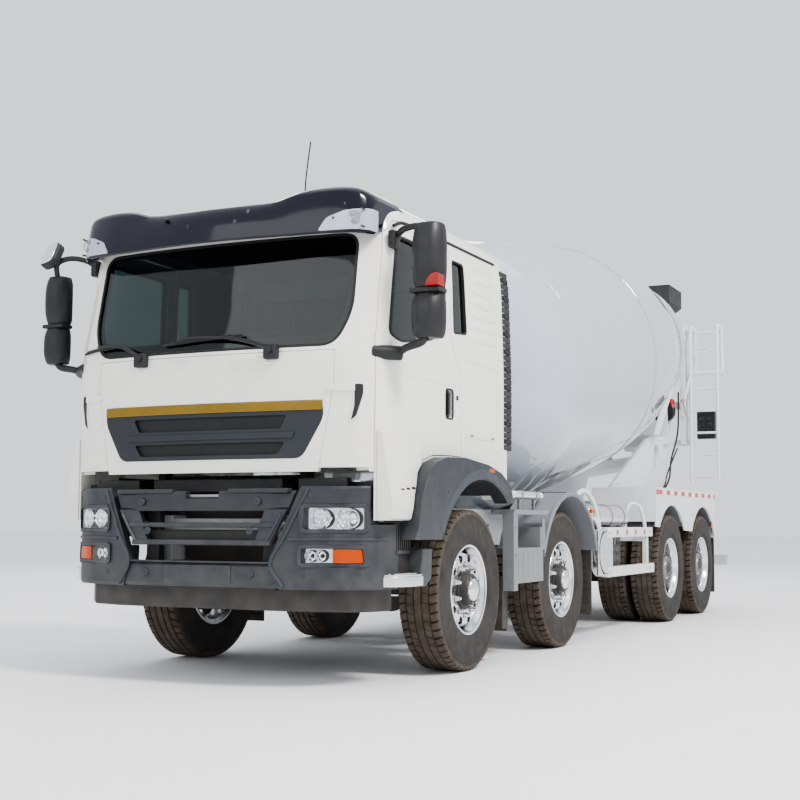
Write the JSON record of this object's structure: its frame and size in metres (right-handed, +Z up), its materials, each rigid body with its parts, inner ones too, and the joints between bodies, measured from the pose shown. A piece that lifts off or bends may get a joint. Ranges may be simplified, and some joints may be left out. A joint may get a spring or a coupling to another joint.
{
  "type": "four-axle concrete mixer truck",
  "caption": "Cab-over truck with two steered and two twin-wheel driven axles, carrying a tilted rotating drum with feed hopper, discharge funnel and folding chute.",
  "frame": {"origin": "on the ground, under the middle of the truck's overall length and width", "axes": "+Y towards the rear, +X towards the truck's left side, +Z up"},
  "size_m": [2.98, 9.96, 3.98],
  "materials": {
    "white_paint": "gloss",
    "drum_paint": "gloss",
    "dark_plastic": "matte",
    "visor_plastic": "gloss",
    "grey_plastic": "matte",
    "black_steel": "satin",
    "alloy": "polished",
    "tyre_rubber": "matte",
    "glass": "clear",
    "cast_metal": "matte",
    "seat_fabric": "woven",
    "rubber": "matte"
  },
  "bodies": {
    "root": {"chassis_frame": "white_paint", "axle_1": "cast_metal", "axle_2": "cast_metal", "axle_3": "cast_metal", "axle_4": "cast_metal", "engine": "cast_metal", "propshaft": "black_steel", "front_bumper": "dark_plastic", "mudguard_2_left": "grey_plastic", "mudguard_2_right": "grey_plastic", "side_guard_left": "white_paint", "side_guard_right": "white_paint", "rear_mudguard_left": "white_paint", "rear_mudguard_right": "white_paint", "battery_box": "black_steel", "air_tank": "alloy", "fuel_tank": "alloy", "drum_subframe": "white_paint", "rear_pedestal": "white_paint", "feed_hopper": "rubber", "discharge_funnel": "white_paint", "ladder": "white_paint"},
    "cab": {"cab_shell": "white_paint", "front_panel": "white_paint", "windscreen": "glass", "sun_visor": "visor_plastic", "dashboard": "dark_plastic", "driver_seat": "seat_fabric", "passenger_seat": "seat_fabric", "wheel_arch_left": "dark_plastic", "wheel_arch_right": "dark_plastic"},
    "drum": {"mixer_drum": "drum_paint"},
    "roller_left": {"roller_left": "cast_metal"},
    "roller_right": {"roller_right": "cast_metal"},
    "chute_post": {"chute_post": "black_steel"},
    "chute": {"chute": "white_paint"},
    "chute_extension": {"chute_extension": "white_paint"},
    "steering_1_left": {"knuckle_1_left": "cast_metal"},
    "wheel_1_left": {"tyre_1_left": "tyre_rubber", "rim_1_left": "alloy"},
    "steering_1_right": {"knuckle_1_right": "cast_metal"},
    "wheel_1_right": {"tyre_1_right": "tyre_rubber", "rim_1_right": "alloy"},
    "steering_2_left": {"knuckle_2_left": "cast_metal"},
    "wheel_2_left": {"tyre_2_left": "tyre_rubber", "rim_2_left": "alloy"},
    "steering_2_right": {"knuckle_2_right": "cast_metal"},
    "wheel_2_right": {"tyre_2_right": "tyre_rubber", "rim_2_right": "alloy"},
    "wheel_3_left": {"twin_wheel_3_left": "tyre_rubber"},
    "wheel_3_right": {"twin_wheel_3_right": "tyre_rubber"},
    "wheel_4_left": {"twin_wheel_4_left": "tyre_rubber"},
    "wheel_4_right": {"twin_wheel_4_right": "tyre_rubber"},
    "door_left": {"door_left": "white_paint", "door_glass_left": "glass", "mirror_left": "dark_plastic"},
    "door_right": {"door_right": "white_paint", "door_glass_right": "glass", "mirror_right": "dark_plastic"}
  },
  "joints": [
    {"name": "steer_1_left", "type": "hinge", "parent": "root", "child": "steering_1_left", "pos_m": [0.88, -3.48, 0.53538], "axis": [0, 0, 1], "range_deg": [-35, 35]},
    {"name": "spin_1_left", "type": "hinge", "parent": "steering_1_left", "child": "wheel_1_left", "pos_m": [1.01, -3.48, 0.53538], "axis": [1, 0, 0], "continuous": true},
    {"name": "steer_1_right", "type": "hinge", "parent": "root", "child": "steering_1_right", "pos_m": [-0.88, -3.48, 0.53538], "axis": [0, 0, 1], "range_deg": [-35, 35]},
    {"name": "spin_1_right", "type": "hinge", "parent": "steering_1_right", "child": "wheel_1_right", "pos_m": [-1.01, -3.48, 0.53538], "axis": [1, 0, 0], "continuous": true},
    {"name": "steer_2_left", "type": "hinge", "parent": "root", "child": "steering_2_left", "pos_m": [0.88, -1.62, 0.53538], "axis": [0, 0, 1], "range_deg": [-27, 27]},
    {"name": "spin_2_left", "type": "hinge", "parent": "steering_2_left", "child": "wheel_2_left", "pos_m": [1.01, -1.62, 0.53538], "axis": [1, 0, 0], "continuous": true},
    {"name": "steer_2_right", "type": "hinge", "parent": "root", "child": "steering_2_right", "pos_m": [-0.88, -1.62, 0.53538], "axis": [0, 0, 1], "range_deg": [-27, 27]},
    {"name": "spin_2_right", "type": "hinge", "parent": "steering_2_right", "child": "wheel_2_right", "pos_m": [-1.01, -1.62, 0.53538], "axis": [1, 0, 0], "continuous": true},
    {"name": "spin_3_left", "type": "hinge", "parent": "root", "child": "wheel_3_left", "pos_m": [1.085, 1.5, 0.53538], "axis": [1, 0, 0], "continuous": true},
    {"name": "spin_3_right", "type": "hinge", "parent": "root", "child": "wheel_3_right", "pos_m": [-1.085, 1.5, 0.53538], "axis": [1, 0, 0], "continuous": true},
    {"name": "spin_4_left", "type": "hinge", "parent": "root", "child": "wheel_4_left", "pos_m": [1.085, 2.85, 0.53538], "axis": [1, 0, 0], "continuous": true},
    {"name": "spin_4_right", "type": "hinge", "parent": "root", "child": "wheel_4_right", "pos_m": [-1.085, 2.85, 0.53538], "axis": [1, 0, 0], "continuous": true},
    {"name": "cab_tilt", "type": "hinge", "parent": "root", "child": "cab", "pos_m": [0, -4.79, 0.92], "axis": [1, 0, 0], "range_deg": [0, 45]},
    {"name": "door_left_hinge", "type": "hinge", "parent": "cab", "child": "door_left", "pos_m": [1.125, -4.755, 1.5], "axis": [0, 0, -1], "range_deg": [0, 70]},
    {"name": "door_right_hinge", "type": "hinge", "parent": "cab", "child": "door_right", "pos_m": [-1.125, -4.755, 1.5], "axis": [0, 0, 1], "range_deg": [0, 70]},
    {"name": "drum_spin", "type": "hinge", "parent": "root", "child": "drum", "pos_m": [0, -2.281, 2.044], "axis": [0, 0.985, 0.1728], "continuous": true},
    {"name": "roller_left_spin", "type": "hinge", "parent": "root", "child": "roller_left", "pos_m": [0.54805, 3.86249, 2.32708], "axis": [0, 0.985, 0.1728], "continuous": true},
    {"name": "roller_right_spin", "type": "hinge", "parent": "root", "child": "roller_right", "pos_m": [-0.54805, 3.86249, 2.32708], "axis": [0, 0.985, 0.1728], "continuous": true},
    {"name": "chute_swivel", "type": "hinge", "parent": "root", "child": "chute_post", "pos_m": [0, 4.74, 1.3], "axis": [0, 0, -1], "range_deg": [0, 180]},
    {"name": "chute_tilt", "type": "hinge", "parent": "chute_post", "child": "chute", "pos_m": [0, 4.74, 1.6], "axis": [0, -1, 0], "range_deg": [0, 30]},
    {"name": "chute_fold", "type": "hinge", "parent": "chute", "child": "chute_extension", "pos_m": [-1.14815, 4.74, 1.68605], "axis": [0, -1, 0], "range_deg": [0, 172]}
  ],
  "couplings": [
    {"joint": "steer_1_right", "follows": "steer_1_left", "ratio": 1},
    {"joint": "steer_2_left", "follows": "steer_1_left", "ratio": 0.75},
    {"joint": "steer_2_right", "follows": "steer_1_left", "ratio": 0.75}
  ]
}
